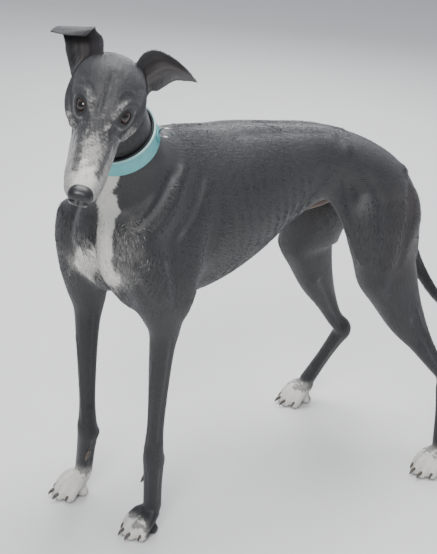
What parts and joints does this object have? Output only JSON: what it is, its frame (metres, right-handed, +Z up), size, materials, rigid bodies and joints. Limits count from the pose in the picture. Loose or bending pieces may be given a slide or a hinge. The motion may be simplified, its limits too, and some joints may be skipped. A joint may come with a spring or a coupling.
{
  "type": "greyhound model",
  "caption": "Life-size still model of a short-coated greyhound standing on four paws with its head lowered, wearing a padded collar.",
  "frame": {"origin": "on the floor plane, in the middle of the model's box as seen from above", "axes": "+Z up; the greyhound faces -X along its trunk; its left side faces -Y"},
  "size_m": [1.071, 0.406, 0.8875],
  "materials": {
    "coat_slate": "short sleek slate-grey coat",
    "coat_dark": "short blue-black coat of the lower legs",
    "coat_white": "short white coat of the feet",
    "ear_skin": "thin dark ear leather with very short hair",
    "nose_leather": "moist pebbled nose leather",
    "eye_amber": "glossy opaque brown eye",
    "claw_horn": "smooth horn",
    "collar_teal": "teal leather with a paler edge line",
    "collar_padding": "dark soft lining",
    "collar_metal": "dull steel ring"
  },
  "bodies": {
    "root": {"head": "coat_slate", "neck": "coat_slate", "trunk": "coat_slate", "tail_root": "coat_slate", "tail_tip": "coat_slate", "foreleg_left_upper": "coat_slate", "foreleg_left_lower": "coat_dark", "foreleg_left_pastern": "coat_dark", "foreleg_left_paw": "coat_white", "foreleg_right_upper": "coat_slate", "foreleg_right_lower": "coat_dark", "foreleg_right_pastern": "coat_dark", "foreleg_right_paw": "coat_white", "hindleg_left_upper": "coat_slate", "hindleg_left_lower": "coat_dark", "hindleg_left_pastern": "coat_dark", "hindleg_left_paw": "coat_white", "hindleg_right_upper": "coat_slate", "hindleg_right_lower": "coat_dark", "hindleg_right_pastern": "coat_dark", "hindleg_right_paw": "coat_white", "ear_left": "ear_skin", "ear_right": "ear_skin", "eye_left": "eye_amber", "eye_right": "eye_amber", "nose": "nose_leather", "claw_foreleg_left_1": "claw_horn", "claw_foreleg_left_2": "claw_horn", "claw_foreleg_left_3": "claw_horn", "claw_foreleg_left_4": "claw_horn", "claw_foreleg_right_1": "claw_horn", "claw_foreleg_right_2": "claw_horn", "claw_foreleg_right_3": "claw_horn", "claw_foreleg_right_4": "claw_horn", "claw_hindleg_left_1": "claw_horn", "claw_hindleg_left_2": "claw_horn", "claw_hindleg_left_3": "claw_horn", "claw_hindleg_left_4": "claw_horn", "claw_hindleg_right_1": "claw_horn", "claw_hindleg_right_2": "claw_horn", "claw_hindleg_right_3": "claw_horn", "claw_hindleg_right_4": "claw_horn", "dewclaw_foreleg_left": "claw_horn", "dewclaw_foreleg_right": "claw_horn", "collar_band": "collar_teal", "collar_tab": "collar_teal", "collar_lining": "collar_padding", "collar_ring": "collar_metal"}
  },
  "joints": []
}
